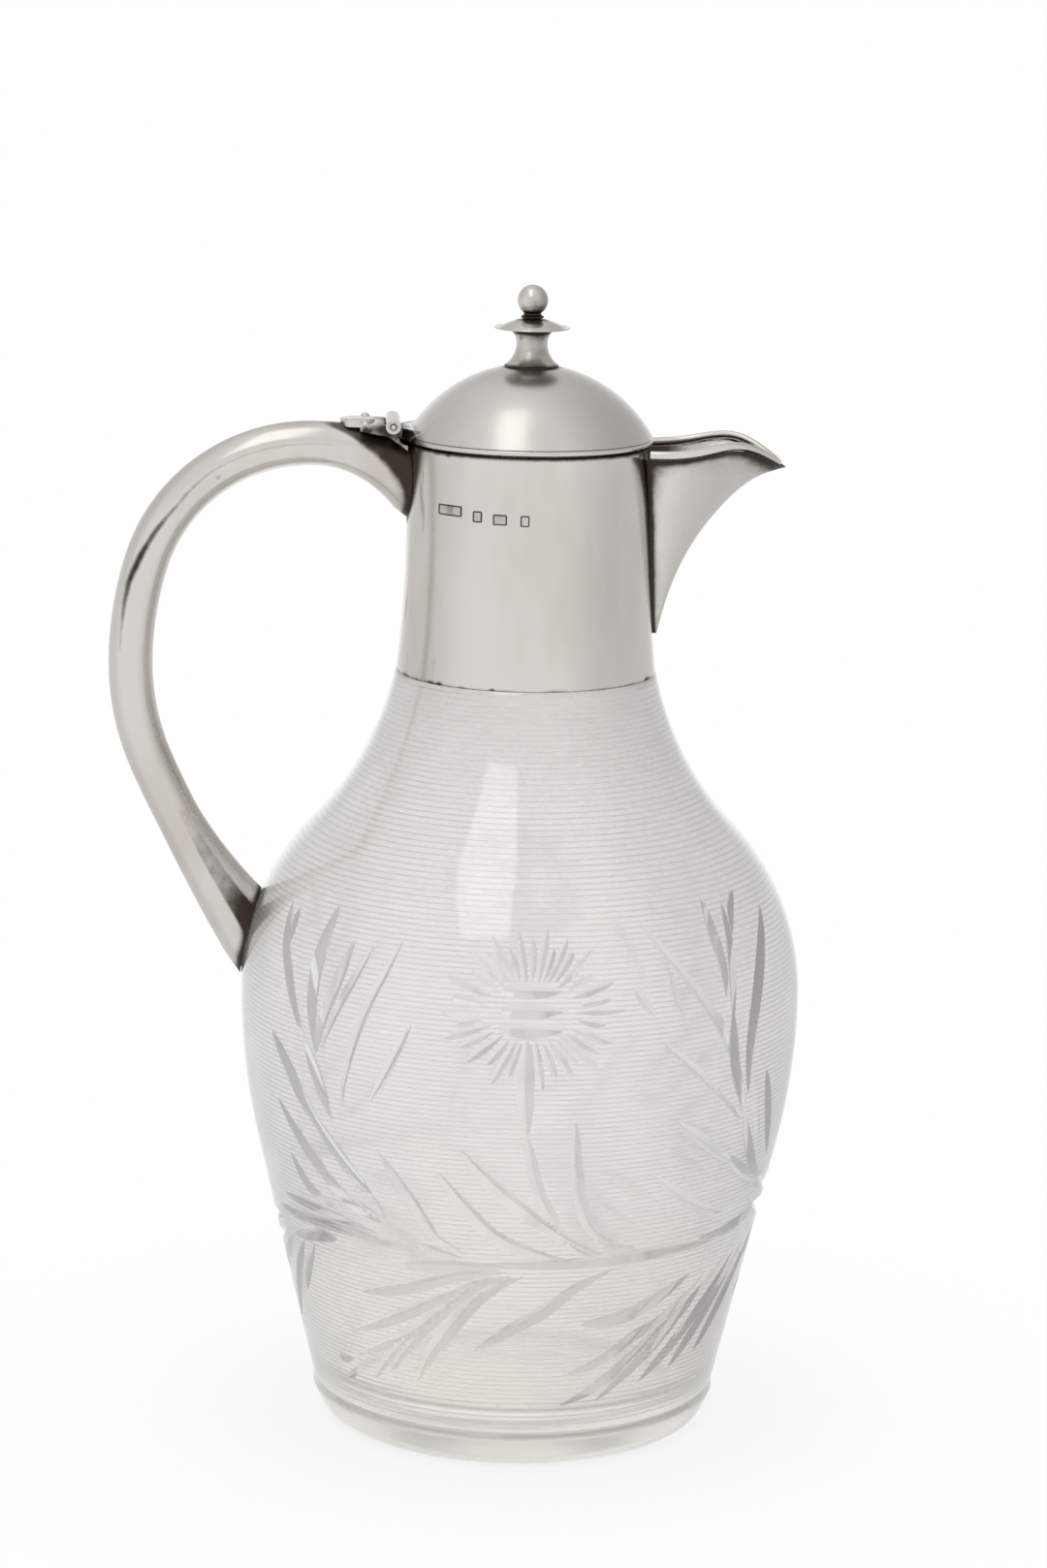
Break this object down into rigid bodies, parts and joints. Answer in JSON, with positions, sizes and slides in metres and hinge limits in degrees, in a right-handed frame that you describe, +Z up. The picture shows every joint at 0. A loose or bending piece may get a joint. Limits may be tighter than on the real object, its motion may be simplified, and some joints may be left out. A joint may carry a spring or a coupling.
{
  "type": "claret jug",
  "caption": "Cut-glass claret jug with a tapered collar, long trough spout, C-shaped handle and a hinged domed lid with a turned finial.",
  "frame": {"origin": "centre of the foot, on the surface that the jug stands on", "axes": "+Z up along the jug's axis, +X towards the spout, -X towards the handle"},
  "size_m": [0.1613, 0.1304, 0.2672],
  "materials": {
    "silver": "satin, worn polish with dark tarnish in the seams",
    "glass": "clear, cut and polished",
    "cement": "matt, chalky"
  },
  "bodies": {
    "jug": {"glass_body": "glass", "neck_cement": "cement", "collar": "silver", "spout": "silver", "spout_lip_wire": "silver", "handle_tube": "silver", "handle_end_filling": "cement", "hinge_plate": "silver", "knuckle_fixed_near": "silver", "knuckle_fixed_mid": "silver", "knuckle_fixed_far": "silver", "hinge_pin": "silver", "pin_head_near": "silver", "pin_head_far": "silver"},
    "lid": {"hinge_leaf_lid": "silver", "knuckle_lid_near": "silver", "knuckle_lid_far": "silver", "lid_dome": "silver", "lid_rim": "silver", "lid_bezel": "silver", "finial_stem": "silver", "finial_saucer": "silver", "finial_ball": "silver", "finial_stud": "silver", "finial_washer": "silver", "finial_nut": "silver"}
  },
  "joints": [
    {"name": "lid_hinge", "type": "hinge", "parent": "jug", "child": "lid", "pos_m": [-0.0314, 0, 0.2352], "axis": [0, -1, 0], "range_deg": [0, 105]}
  ]
}
